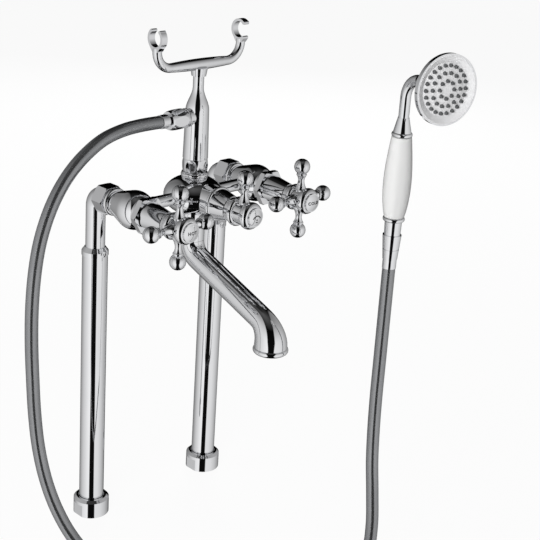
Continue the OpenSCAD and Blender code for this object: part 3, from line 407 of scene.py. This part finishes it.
@dataclass
class IndexMarks:
    """Words on the two tap caps and the spray mark on the diverter cap."""

    tap_x: float = 90 * MM
    axis_z: float = 400 * MM
    cap_r: float = 10.5 * MM
    cap_dome: float = 2.0 * MM
    letter_size: float = 5.0 * MM
    letter_gap: float = 1.2
    letter_weight: float = 0.13 * MM
    arc_r: float = 5.6 * MM
    arc_w: float = 1.25 * MM
    arc_sweep: float = 131.0
    curve_r: float = 1.8 * MM
    curve_w: float = 0.9 * MM
    curve_sweep: float = 90.0
    arc_centre: float = -3.0 * MM
    dot_r: float = 0.9 * MM
    dot_centre: float = -1.9 * MM
    raised: float = 0.15 * MM
    sunk: float = 0.25 * MM

    def settle(self, shape: bmesh.types.BMesh, centre: Vector) -> None:
        """Lays a flat mark on a domed cap.

        Args:
            shape: Mark in the XY plane, with its thickness along Z from zero.
            centre: Top of the dome, which faces -Y.
        """
        dome_r = (self.cap_r**2 + self.cap_dome**2) / (2 * self.cap_dome)
        for vert in shape.verts:
            out = math.hypot(vert.co.x, vert.co.y)
            vert.co.z += math.sqrt(dome_r**2 - out**2) - dome_r - self.sunk
        bmesh.ops.recalc_face_normals(shape, faces=shape.faces[:])
        place = Matrix.Translation(centre) @ Matrix.Rotation(math.radians(90), 4, "X")
        bmesh.ops.transform(shape, matrix=place, verts=shape.verts[:])

    def word(self, text: str) -> bmesh.types.BMesh:
        """Sets one word in plain capitals.

        Args:
            text: The word.

        Returns:
            The word as a flat solid, centred on the origin.
        """
        thick = self.raised + self.sunk
        curve = bpy.data.curves.new("letters", "FONT")
        curve.body = text
        curve.size = self.letter_size
        curve.space_character = self.letter_gap
        curve.align_x = "CENTER"
        curve.align_y = "CENTER"
        curve.extrude = thick / 2
        curve.offset = self.letter_weight
        curve.resolution_u = 5
        holder = bpy.data.objects.new("letters", curve)
        bpy.context.scene.collection.objects.link(holder)
        bpy.context.view_layer.update()
        mesh = bpy.data.meshes.new_from_object(holder.evaluated_get(bpy.context.evaluated_depsgraph_get()))
        bpy.data.objects.remove(holder)
        shape = bmesh.new()
        shape.from_mesh(mesh)
        bpy.data.meshes.remove(mesh)
        bmesh.ops.remove_doubles(shape, verts=shape.verts[:], dist=0.001 * MM)
        bmesh.ops.translate(shape, verts=shape.verts[:], vec=(0.0, 0.0, thick / 2))
        return shape

    def arc(self, shape: bmesh.types.BMesh, radius: float, width: float, start: float, sweep: float) -> None:
        """Adds a curved stroke about the origin.

        Args:
            shape: Mesh that gets the stroke.
            radius: Radius at the middle of the stroke.
            width: Width of the stroke.
            start: Angle where it begins, from the right, in degrees.
            sweep: Angle that it runs through, in degrees.
        """
        thick = self.raised + self.sunk
        begin = Matrix.Rotation(math.radians(start), 4, "Z")
        corners = ((-0.5, 0.0), (0.5, 0.0), (0.5, 1.0), (-0.5, 1.0))
        verts = [shape.verts.new(begin @ Vector((radius + a * width, 0.0, b * thick))) for a, b in corners]
        face = shape.faces.new(verts)
        bmesh.ops.spin(
            shape,
            geom=[*verts, *face.edges, face],
            cent=(0.0, 0.0, 0.0),
            axis=(0.0, 0.0, 1.0),
            angle=math.radians(sweep),
            steps=max(4, int(sweep / 8)),
            use_merge=False,
        )

    def spray_mark(self) -> bmesh.types.BMesh:
        """Draws the mark of the diverter: an arc over a dot, with a short curve under it.

        Returns:
            The mark as a flat solid, centred on the origin.
        """
        thick = self.raised + self.sunk
        shape = bmesh.new()
        self.arc(shape, self.arc_r, self.arc_w, 90 - self.arc_sweep / 2, self.arc_sweep)
        self.arc(shape, self.curve_r, self.curve_w, 270 - self.curve_sweep / 2, self.curve_sweep)
        bmesh.ops.translate(shape, verts=shape.verts[:], vec=(0.0, self.arc_centre, 0.0))
        bmesh.ops.create_cone(
            shape,
            cap_ends=True,
            segments=18,
            radius1=self.dot_r,
            radius2=self.dot_r,
            depth=thick,
            matrix=Matrix.Translation((0.0, self.dot_centre, thick / 2)),
        )
        return shape

    def build(self, materials: dict[Slot, bpy.types.Material]) -> None:
        """Makes the three marks.

        Args:
            materials: Materials by slot.
        """
        plan = (
            ("hot_word", Body.HOT, self.word("HOT"), "hot_handle_cap", -self.tap_x),
            ("cold_word", Body.COLD, self.word("COLD"), "cold_handle_cap", self.tap_x),
            ("spray_mark", Body.DIVERTER, self.spray_mark(), "diverter_cap", 0.0),
        )
        for name, body, shape, cap, x in plan:
            self.settle(shape, Vector((x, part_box(cap)[0][1], self.axis_z)))
            finish_piece(mesh_object(name, shape, smooth=False), body, Slot.BLACK_RUBBER, materials)


@dataclass
class Screws:
    """Ends of the small screws: hexagon sockets in the legs and a slot in the diverter knob."""

    leg_x: float = 90 * MM
    leg_face: float = -14.0 * MM
    below_sleeve_top: float = 6.5 * MM
    socket_r: float = 2.3 * MM
    hexagon_r: float = 1.35 * MM
    socket_t: float = 0.7 * MM
    socket_floor: float = 0.05 * MM
    slot_r: float = 1.7 * MM
    slot_w: float = 0.5 * MM
    slot_t: float = 0.9 * MM
    slot_floor: float = 0.36 * MM
    core_r: float = 1.666 * MM
    knob_front: float = -134.6 * MM
    knob_r: float = 16.0 * MM
    knob_z: float = 400 * MM
    knob_angle: float = 168.0

    def socket_end(self) -> bmesh.types.BMesh:
        """Makes a screw end with a hexagon socket.

        Returns:
            The end, standing on the XY plane.
        """
        shape = bmesh.new()
        bmesh.ops.create_circle(shape, segments=24, radius=self.socket_r)
        rim = list(shape.edges)
        hexagon = bmesh.ops.create_circle(shape, segments=6, radius=self.hexagon_r)["verts"]
        sides = list({edge for vert in hexagon for edge in vert.link_edges})
        bmesh.ops.subdivide_edges(shape, edges=sides, cuts=3)
        bmesh.ops.bridge_loops(shape, edges=shape.edges[:])
        bmesh.ops.translate(shape, verts=shape.verts[:], vec=(0.0, 0.0, self.socket_t))
        inner = [edge for edge in shape.edges if edge.is_boundary and edge not in rim]
        for edges, drop in ((inner, self.socket_t - self.socket_floor), (rim, self.socket_t)):
            wall = bmesh.ops.extrude_edge_only(shape, edges=edges)["geom"]
            low = [item for item in wall if isinstance(item, bmesh.types.BMVert)]
            bmesh.ops.translate(shape, verts=low, vec=(0.0, 0.0, -drop))
            lower_edges = [item for item in wall if isinstance(item, bmesh.types.BMEdge) and item.is_boundary]
            bmesh.ops.edgeloop_fill(shape, edges=lower_edges)
        bmesh.ops.recalc_face_normals(shape, faces=shape.faces[:])
        return shape

    def slotted_end(self) -> bmesh.types.BMesh:
        """Makes a screw end with a driver slot.

        Returns:
            The end, standing on the XY plane with its slot along X.
        """
        shape = bmesh.new()
        bmesh.ops.create_circle(shape, cap_ends=True, segments=28, radius=self.slot_r)
        bmesh.ops.bisect_plane(
            shape,
            geom=[*shape.verts, *shape.edges, *shape.faces],
            plane_co=(0.0, self.slot_w / 2, 0.0),
            plane_no=(0.0, 1.0, 0.0),
            clear_inner=True,
        )
        top = bmesh.ops.extrude_face_region(shape, geom=shape.faces[:])["geom"]
        raised = [item for item in top if isinstance(item, bmesh.types.BMVert)]
        bmesh.ops.translate(shape, verts=raised, vec=(0.0, 0.0, self.slot_t))
        bmesh.ops.mirror(
            shape,
            geom=[*shape.verts, *shape.edges, *shape.faces],
            matrix=Matrix.Identity(4),
            axis="Y",
            merge_dist=0.0,
        )
        bmesh.ops.create_cone(
            shape,
            cap_ends=True,
            segments=28,
            radius1=self.core_r,
            radius2=self.core_r,
            depth=self.slot_floor,
            matrix=Matrix.Translation((0.0, 0.0, self.slot_floor / 2)),
        )
        bmesh.ops.recalc_face_normals(shape, faces=shape.faces[:])
        return shape

    def build(self, materials: dict[Slot, bpy.types.Material]) -> None:
        """Makes the screw ends.

        Args:
            materials: Materials by slot.
        """
        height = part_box("hot_leg_sleeve")[1][2] - self.below_sleeve_top
        facing = Matrix.Rotation(math.radians(90), 4, "X")
        for name, side in (("hot_leg_screw_end", -1), ("cold_leg_screw_end", 1)):
            shape = self.socket_end()
            place = Matrix.Translation((side * self.leg_x, self.leg_face, height)) @ facing
            bmesh.ops.transform(shape, matrix=place, verts=shape.verts[:])
            finish_piece(mesh_object(name, shape, smooth=False), Body.MIXER, Slot.CHROME, materials)
        shape = self.slotted_end()
        place = (
            Matrix.Translation((0.0, self.knob_front, self.knob_z))
            @ Matrix.Rotation(math.radians(-self.knob_angle), 4, "Y")
            @ Matrix.Translation((self.knob_r, 0.0, 0.0))
            @ Matrix.Rotation(math.radians(90), 4, "Y")
        )
        bmesh.ops.transform(shape, matrix=place, verts=shape.verts[:])
        finish_piece(mesh_object("knob_screw_end", shape, smooth=False), Body.DIVERTER, Slot.CHROME, materials)


@dataclass
class FootThreads:
    """Pipe thread inside the two foot nuts."""

    leg_x: float = 90 * MM
    bore_r: float = 15.15 * MM
    depth: float = 0.5 * MM
    pitch: float = 2.309 * MM
    low: float = 1.6 * MM
    turns: int = 3
    steps: int = 36
    ridge_share: float = 0.34
    bite: float = 0.05 * MM

    def build(self, materials: dict[Slot, bpy.types.Material]) -> None:
        """Winds one ridge into each nut.

        Args:
            materials: Materials by slot.
        """
        half = self.pitch * self.ridge_share
        for name, side in (("hot_foot_thread", -1), ("cold_foot_thread", 1)):
            shape = bmesh.new()
            corners = ((self.bite, -half), (-self.depth, 0.0), (self.bite, half))
            verts = [shape.verts.new((self.bore_r + out, 0.0, self.low + rise)) for out, rise in corners]
            face = shape.faces.new(verts)
            bmesh.ops.spin(
                shape,
                geom=[*verts, *face.edges, face],
                cent=(0.0, 0.0, 0.0),
                axis=(0.0, 0.0, 1.0),
                dvec=(0.0, 0.0, self.pitch / self.steps),
                angle=math.tau * self.turns,
                steps=self.steps * self.turns,
                use_merge=False,
            )
            bmesh.ops.recalc_face_normals(shape, faces=shape.faces[:])
            bmesh.ops.translate(shape, verts=shape.verts[:], vec=(side * self.leg_x, 0.0, 0.0))
            finish_piece(mesh_object(name, shape, smooth=False), Body.MIXER, Slot.CHROME, materials)


@dataclass
class SprayFace:
    """Dark discs on the tips of the spray nozzles, painted shade that stands in for their water holes."""

    handset: Vector = field(default_factory=lambda: Vector((76, -288, 376)) * MM)
    handset_turn: float = -15.0
    tube_top: float = 173.1 * MM
    bend_r: float = 22 * MM
    neck_angle: float = 89.0
    head_depth: float = 44.5 * MM
    dish_depth: float = 3.6 * MM
    dish_r: float = 26.4 * MM
    crown: float = 2.6 * MM
    nozzle_h: float = 2.6 * MM
    hole_r: float = 0.75 * MM
    hole_taper: float = 0.8
    hole_t: float = 0.12 * MM
    rings: tuple[tuple[int, float], ...] = ((8, 8.6 * MM), (14, 16.4 * MM), (22, 23.6 * MM))

    def frame(self) -> Matrix:
        """Finds the frame of the spray face.

        Returns:
            The frame at the foot of the head, with Z out of its face.
        """
        angle = math.radians(self.neck_angle)
        ahead = self.bend_r * (1 - math.cos(angle))
        bend = Vector((0.0, -ahead, self.tube_top + self.bend_r * math.sin(angle)))
        return (
            Matrix.Translation(self.handset)
            @ Matrix.Rotation(math.radians(self.handset_turn), 4, "Z")
            @ Matrix.Translation(bend)
            @ Matrix.Rotation(angle, 4, "X")
        )

    def build(self, materials: dict[Slot, bpy.types.Material]) -> None:
        """Makes one small dark disc on each nozzle, painted shade standing in for its water hole.

        Args:
            materials: Materials by slot.
        """
        shape = bmesh.new()
        for count, radius in self.rings:
            crown = self.crown * (1 - (radius / self.dish_r) ** 2)
            tip = Matrix.Translation((radius, 0.0, self.head_depth - self.dish_depth + crown + self.nozzle_h))
            for k in range(count):
                place = Matrix.Rotation(math.tau * k / count, 4, "Z") @ tip
                bmesh.ops.create_cone(
                    shape,
                    cap_ends=True,
                    segments=10,
                    radius1=self.hole_r,
                    radius2=self.hole_r * self.hole_taper,
                    depth=self.hole_t,
                    matrix=self.frame() @ place,
                )
        # Each disc is painted shade: the black rubber finish is a flat dark sheet where the hole's shaded
        # inside would be.
        holes = mesh_object("nozzle_hole_shade", shape, smooth=False)
        finish_piece(holes, Body.HANDSET, Slot.BLACK_RUBBER, materials)


@dataclass
class AeratorGauze:
    """Fine wire gauze across the mouth of the spout."""

    radius: float = 11.7 * MM
    pitch: float = 1.5 * MM
    wire: float = 0.36 * MM
    below: float = 0.25 * MM

    def build(self, materials: dict[Slot, bpy.types.Material]) -> None:
        """Cuts a disc into squares and turns their edges into wires.

        Args:
            materials: Materials by slot.
        """
        low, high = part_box("aerator_insert")
        shape = bmesh.new()
        bmesh.ops.create_circle(shape, cap_ends=True, segments=40, radius=self.radius)
        count = int(self.radius / self.pitch)
        for way in ((1.0, 0.0, 0.0), (0.0, 1.0, 0.0)):
            for k in range(-count, count + 1):
                bmesh.ops.bisect_plane(
                    shape,
                    geom=[*shape.verts, *shape.edges, *shape.faces],
                    plane_co=tuple(k * self.pitch * Vector(way)),
                    plane_no=way,
                )
        bmesh.ops.wireframe(
            shape,
            faces=shape.faces[:],
            thickness=self.wire,
            use_replace=True,
            use_boundary=True,
            use_even_offset=True,
        )
        middle = ((low[0] + high[0]) / 2, (low[1] + high[1]) / 2, low[2] - self.below)
        bmesh.ops.translate(shape, verts=shape.verts[:], vec=middle)
        finish_piece(mesh_object("aerator_gauze", shape, smooth=False), Body.SPOUT, Slot.CHROME, materials)


@dataclass(frozen=True)
class Lamp:
    """One soft square lamp."""

    name: str
    place: tuple[float, float, float]
    power: float


@dataclass
class Studio:
    """Camera, lamps, floor and the dome that polished metal mirrors."""

    camera_place: Vector = field(default_factory=lambda: Vector((-0.9561, -1.1142, 0.8485)))
    yaw: float = math.radians(45.894)
    pitch: float = math.radians(-20.581)
    roll: float = math.radians(3.741)
    lens: float = 88.48
    dome_radius: float = 4.0
    dome_centre: Vector = field(default_factory=lambda: Vector((0.0, -0.1, 0.35)))
    around_tones: tuple[tuple[float, float], ...] = (
        (-180, 0.16), (-144, 0.22), (-118, 0.40), (-89, 0.64), (-60, 0.80), (-40, 0.92), (-20, 1.00), (0, 0.95),
        (25, 0.86), (62, 0.82), (100, 0.62), (130, 0.40), (155, 0.26), (180, 0.16),
    )
    slot_tones: tuple[tuple[float, float], ...] = ((-0.29, 1.0), (-0.243, 0.004), (0.321, 0.004), (0.37, 1.0))
    aside_reach: float = 1.2
    slot_low: float = -0.342
    slot_high: float = 0.10
    slot_flare: float = 0.40
    overhead_tones: tuple[tuple[float, float], ...] = (
        (-90, 0.0), (40, 0.0), (58, 0.10), (75, 0.26), (90, 0.32),
    )
    upward_tones: tuple[tuple[float, float], ...] = (
        (-90, 0.80), (-40, 0.95), (-20, 1.00), (8, 0.96), (28, 0.72), (48, 0.46), (70, 0.34), (90, 0.30),
    )

    lamp_aim: Vector = field(default_factory=lambda: Vector((0.05, -0.25, 0.45)))
    lamp_size: float = 1.2
    lamps: tuple[Lamp, ...] = (
        Lamp("key_lamp", (-2.04, -1.34, 1.16), 46.0),
        Lamp("left_lamp", (-1.77, 1.18, 1.2), 11.0),
        Lamp("back_lamp", (1.6, 1.5, 1.2), 30.0),
    )
    ambient: float = 0.10
    floor_size: float = 30.0
    floor_tone: float = 0.92
    floor_white: float = 0.94

    def camera(self) -> None:
        """Sets the camera at the photograph's viewing angle."""
        ahead = Vector(
            (
                math.sin(self.yaw) * math.cos(self.pitch),
                math.cos(self.yaw) * math.cos(self.pitch),
                math.sin(self.pitch),
            )
        )
        right = Vector((math.cos(self.yaw), -math.sin(self.yaw), 0.0))
        up = right.cross(ahead)
        tilted_right = right * math.cos(self.roll) + up * math.sin(self.roll)
        tilted_up = up * math.cos(self.roll) - right * math.sin(self.roll)
        turn = Matrix((tilted_right, tilted_up, -ahead)).transposed()
        data = bpy.data.cameras.new("camera")
        data.lens = self.lens
        data.sensor_width = 36.0
        data.clip_end = 50.0
        camera = bpy.data.objects.new("camera", data)
        camera.matrix_world = Matrix.Translation(self.camera_place) @ turn.to_4x4()
        bpy.context.scene.collection.objects.link(camera)
        bpy.context.scene.camera = camera

    def light(self, lamp: Lamp) -> None:
        """Sets up one lamp, unseen in mirrors.

        Args:
            lamp: The lamp.
        """
        place = Vector(lamp.place)
        data = bpy.data.lights.new(lamp.name, "AREA")
        data.size = self.lamp_size
        data.energy = lamp.power
        stand = bpy.data.objects.new(lamp.name, data)
        stand.location = place
        stand.rotation_euler = (self.lamp_aim - place).to_track_quat("-Z", "Y").to_euler()
        stand.visible_glossy = False
        bpy.context.scene.collection.objects.link(stand)

    def world(self) -> None:
        """Makes a white surround that shows to the eye and to gloss, and lights dull surfaces softly."""
        world = bpy.data.worlds.new("surround")
        bpy.context.scene.world = world
        world.use_nodes = True
        nodes, links = world.node_tree.nodes, world.node_tree.links
        back = nodes["Background"]
        back.inputs["Color"].default_value = (1.0, 1.0, 1.0, 1.0)
        path = nodes.new("ShaderNodeLightPath")
        seen = nodes.new("ShaderNodeMath")
        seen.operation = "MAXIMUM"
        clear = nodes.new("ShaderNodeMath")
        clear.operation = "MAXIMUM"
        level = nodes.new("ShaderNodeMapRange")
        level.inputs["To Min"].default_value = self.ambient
        level.inputs["To Max"].default_value = 1.0
        links.new(path.outputs["Is Camera Ray"], seen.inputs[0])
        links.new(path.outputs["Is Glossy Ray"], seen.inputs[1])
        links.new(seen.outputs[0], clear.inputs[0])
        links.new(path.outputs["Is Transmission Ray"], clear.inputs[1])
        links.new(clear.outputs[0], level.inputs["Value"])
        links.new(level.outputs["Result"], back.inputs["Strength"])

    def floor(self) -> None:
        """Lays a plain pale floor that keeps a soft shadow."""
        shape = bmesh.new()
        bmesh.ops.create_grid(shape, x_segments=1, y_segments=1, size=self.floor_size)
        floor = mesh_object("studio_floor", shape, smooth=False)
        material = bpy.data.materials.new("studio_floor")
        material.use_nodes = True
        nodes, links = material.node_tree.nodes, material.node_tree.links
        dull = nodes["Principled BSDF"]
        dull.inputs["Base Color"].default_value = (self.floor_tone, self.floor_tone, self.floor_tone, 1.0)
        dull.inputs["Roughness"].default_value = 0.9
        glow = nodes.new("ShaderNodeEmission")
        path = nodes.new("ShaderNodeLightPath")
        share = nodes.new("ShaderNodeMath")
        share.operation = "MULTIPLY"
        share.inputs[1].default_value = self.floor_white
        mix = nodes.new("ShaderNodeMixShader")
        links.new(path.outputs["Is Camera Ray"], share.inputs[0])
        links.new(share.outputs[0], mix.inputs["Fac"])
        links.new(dull.outputs["BSDF"], mix.inputs[1])
        links.new(glow.outputs["Emission"], mix.inputs[2])
        links.new(mix.outputs["Shader"], nodes["Material Output"].inputs["Surface"])
        floor.data.materials.append(material)
        floor.visible_glossy = False

    def ramp(
        self, nodes: bpy.types.Nodes, tones: tuple[tuple[float, float], ...], low: float, high: float
    ) -> bpy.types.Node:
        """Makes a grey ramp from tones at places.

        Args:
            nodes: Nodes of the material.
            tones: Pairs of a place and a tone, from the lowest place up.
            low: Place at the start of the ramp.
            high: Place at its end.

        Returns:
            The ramp node.
        """
        node = nodes.new("ShaderNodeValToRGB")
        stops = node.color_ramp.elements
        stops.remove(stops[1])
        for index, (place, tone) in enumerate(tones):
            spot = (place - low) / (high - low)
            stop = stops[0] if index == 0 else stops.new(spot)
            stop.position = spot
            stop.color = (tone, tone, tone, 1.0)
        return node

    def dome(self) -> None:
        """Puts up the grey and white studio dome that only gloss sees, with one dark slot beside the camera."""
        shape = bmesh.new()
        bmesh.ops.create_uvsphere(
            shape,
            u_segments=64,
            v_segments=32,
            radius=self.dome_radius,
            matrix=Matrix.Translation(self.dome_centre),
        )
        bmesh.ops.reverse_faces(shape, faces=shape.faces[:])
        dome = mesh_object("studio_dome", shape)
        material = bpy.data.materials.new("studio_dome")
        material.use_nodes = True
        nodes, links = material.node_tree.nodes, material.node_tree.links
        nodes.remove(nodes["Principled BSDF"])
        place = nodes.new("ShaderNodeTexCoord")
        centred = nodes.new("ShaderNodeMapping")
        centred.inputs["Location"].default_value = tuple(-self.dome_centre)
        spin = nodes.new("ShaderNodeVectorRotate")
        spin.rotation_type = "Z_AXIS"
        to_camera = self.camera_place - self.dome_centre
        spin.inputs["Angle"].default_value = -math.atan2(to_camera.y, to_camera.x)
        unit = nodes.new("ShaderNodeVectorMath")
        unit.operation = "NORMALIZE"
        split = nodes.new("ShaderNodeSeparateXYZ")
        turn = nodes.new("ShaderNodeMath")
        turn.operation = "ARCTAN2"
        rise = nodes.new("ShaderNodeMath")
        rise.operation = "ARCSINE"
        flare = nodes.new("ShaderNodeMapRange")
        flare.inputs["From Min"].default_value = self.slot_low
        flare.inputs["From Max"].default_value = self.slot_high
        flare.inputs["To Min"].default_value = 1.0
        flare.inputs["To Max"].default_value = 1.0 + self.slot_flare
        aside = nodes.new("ShaderNodeMath")
        aside.operation = "DIVIDE"
        glow = nodes.new("ShaderNodeEmission")
        links.new(place.outputs["Object"], centred.inputs["Vector"])
        links.new(centred.outputs["Vector"], spin.inputs["Vector"])
        links.new(spin.outputs["Vector"], unit.inputs[0])
        links.new(unit.outputs["Vector"], split.inputs["Vector"])
        links.new(split.outputs["Y"], turn.inputs[0])
        links.new(split.outputs["X"], turn.inputs[1])
        links.new(split.outputs["Z"], rise.inputs[0])
        links.new(split.outputs["Z"], flare.inputs["Value"])
        links.new(split.outputs["Y"], aside.inputs[0])
        links.new(flare.outputs["Result"], aside.inputs[1])
        plan = (
            ("MIX", aside, self.slot_tones, -self.aside_reach, self.aside_reach, 1.0),
            ("LIGHTEN", rise, self.overhead_tones, -90.0, 90.0, math.radians(1)),
            ("MULTIPLY", rise, self.upward_tones, -90.0, 90.0, math.radians(1)),
            ("MULTIPLY", turn, self.around_tones, -180.0, 180.0, math.radians(1)),
        )
        shade = None
        for blend, source, tones, low, high, unit_size in plan:
            share = nodes.new("ShaderNodeMapRange")
            share.inputs["From Min"].default_value = low * unit_size
            share.inputs["From Max"].default_value = high * unit_size
            tone = self.ramp(nodes, tones, low, high)
            links.new(source.outputs[0], share.inputs["Value"])
            links.new(share.outputs["Result"], tone.inputs["Fac"])
            if shade is None:
                shade = tone.outputs["Color"]
                continue
            both = nodes.new("ShaderNodeMix")
            both.data_type = "RGBA"
            both.blend_type = blend
            both.inputs["Factor"].default_value = 1.0
            links.new(shade, both.inputs["A"])
            links.new(tone.outputs["Color"], both.inputs["B"])
            shade = both.outputs["Result"]
        links.new(shade, glow.inputs["Color"])
        links.new(glow.outputs["Emission"], nodes["Material Output"].inputs["Surface"])
        dome.data.materials.append(material)
        dome.visible_camera = False
        dome.visible_diffuse = False
        dome.visible_shadow = False
        dome.visible_transmission = False

    def build(self) -> None:
        """Sets up camera, light and floor."""
        bpy.context.scene.view_settings.view_transform = "Standard"
        self.camera()
        self.world()
        self.floor()
        self.dome()
        for lamp in self.lamps:
            self.light(lamp)


def dress_nodes(
    nodes: dict[str, bpy.types.Object], record: dict, materials: dict[Slot, bpy.types.Material]
) -> None:
    """Gives every CAD node its finish and smooth shading.

    Args:
        nodes: CAD objects by node name.
        record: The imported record.
        materials: Materials by slot.
    """
    turned = angle_smoother(TURNED_EDGE)
    flatted = angle_smoother(FLATTED_EDGE)
    for part in record["subparts"]:
        obj = nodes[part["node"]]
        material = materials[Slot(part["material_slot"])]
        for holder in obj.material_slots:
            holder.material = material
        modifier = obj.modifiers.new("smooth_by_angle", "NODES")
        modifier.node_group = flatted if part["node"].endswith(FLATTED) else turned


def main() -> None:
    """Builds the scene and reports each piece."""
    logging.basicConfig(level=logging.INFO, format="%(name)s: %(message)s")
    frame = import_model()
    marks = handling_marks()
    materials = {slot: finish.build(marks) for slot, finish in FINISHES.items()}
    Studio().build()
    ShowerHose().build(materials)
    for detail in (IndexMarks(), Screws(), FootThreads(), SprayFace(), AeratorGauze()):
        detail.build(materials)
    dress_nodes(frame["nodes"], frame["record"], materials)


if __name__ == "__main__":
    main()
